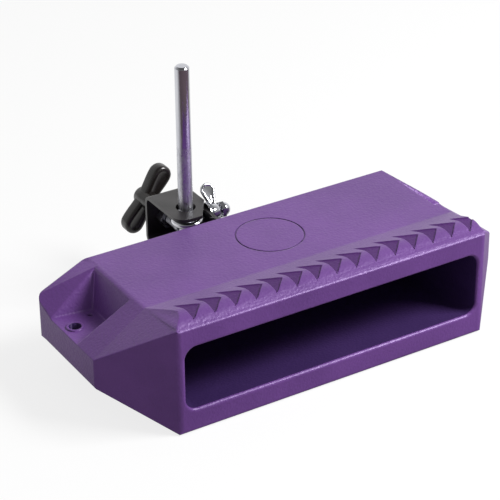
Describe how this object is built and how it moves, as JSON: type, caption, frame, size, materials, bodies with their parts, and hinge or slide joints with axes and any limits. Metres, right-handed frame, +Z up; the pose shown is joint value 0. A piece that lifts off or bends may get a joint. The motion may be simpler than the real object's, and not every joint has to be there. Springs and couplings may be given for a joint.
{
  "type": "woodblock",
  "caption": "Moulded woodblock with a wide sound slot, a notched scraper lip, an eared end on each side and a steel clamp bracket on a chrome post",
  "frame": {"origin": "centre of the block's flat base", "axes": "X across the block from ear to ear, Y from the slotted front towards the clamp, Z up along the rod"},
  "size_m": [0.292, 0.195, 0.1685],
  "materials": {
    "body": "matte",
    "inserts": "satin",
    "bracket": "satin",
    "fasteners": "satin",
    "rod": "polished",
    "bright_hardware": "polished",
    "knob": "satin"
  },
  "bodies": {
    "block": {"block_body": "body", "threaded_inserts": "inserts", "clamp_bracket": "bracket", "bracket_screws": "fasteners", "bracket_washers": "fasteners", "screw_nut": "fasteners", "flat_washer": "bright_hardware", "spring_washer": "bright_hardware"},
    "rod": {"mounting_rod": "rod"},
    "eye": {"eye_bolt": "bright_hardware", "cap_nut": "bright_hardware"},
    "wing": {"wing_nut": "bright_hardware"},
    "tip": {"pressure_tip": "fasteners"},
    "knob": {"knob_screw": "fasteners", "clamp_knob": "knob"}
  },
  "joints": [
    {"name": "rod_slide", "type": "slide", "parent": "block", "child": "rod", "axis": [0, 0, 1], "range_m": [-0.02, 0.005]},
    {"name": "wing_nut_turn", "type": "hinge", "parent": "block", "child": "wing", "pos_m": [-0.0097, 0.078, 0.06], "axis": [1, 0, 0], "range_deg": [0, 360]},
    {"name": "eye_bolt_travel", "type": "slide", "parent": "block", "child": "eye", "axis": [-1, 0, 0], "range_m": [0, 0.00127]},
    {"name": "screw_travel", "type": "slide", "parent": "block", "child": "tip", "axis": [0, 1, 0], "range_m": [0, 0.00282]},
    {"name": "knob_turn", "type": "hinge", "parent": "tip", "child": "knob", "pos_m": [-0.0275, 0.107, 0.052], "axis": [0, 1, 0], "range_deg": [0, 720]}
  ],
  "couplings": [
    {"joint": "wing_nut_turn", "follows": "eye_bolt_travel", "rad_per_m": 4947.4},
    {"joint": "knob_turn", "follows": "screw_travel", "rad_per_m": 4456.1}
  ]
}
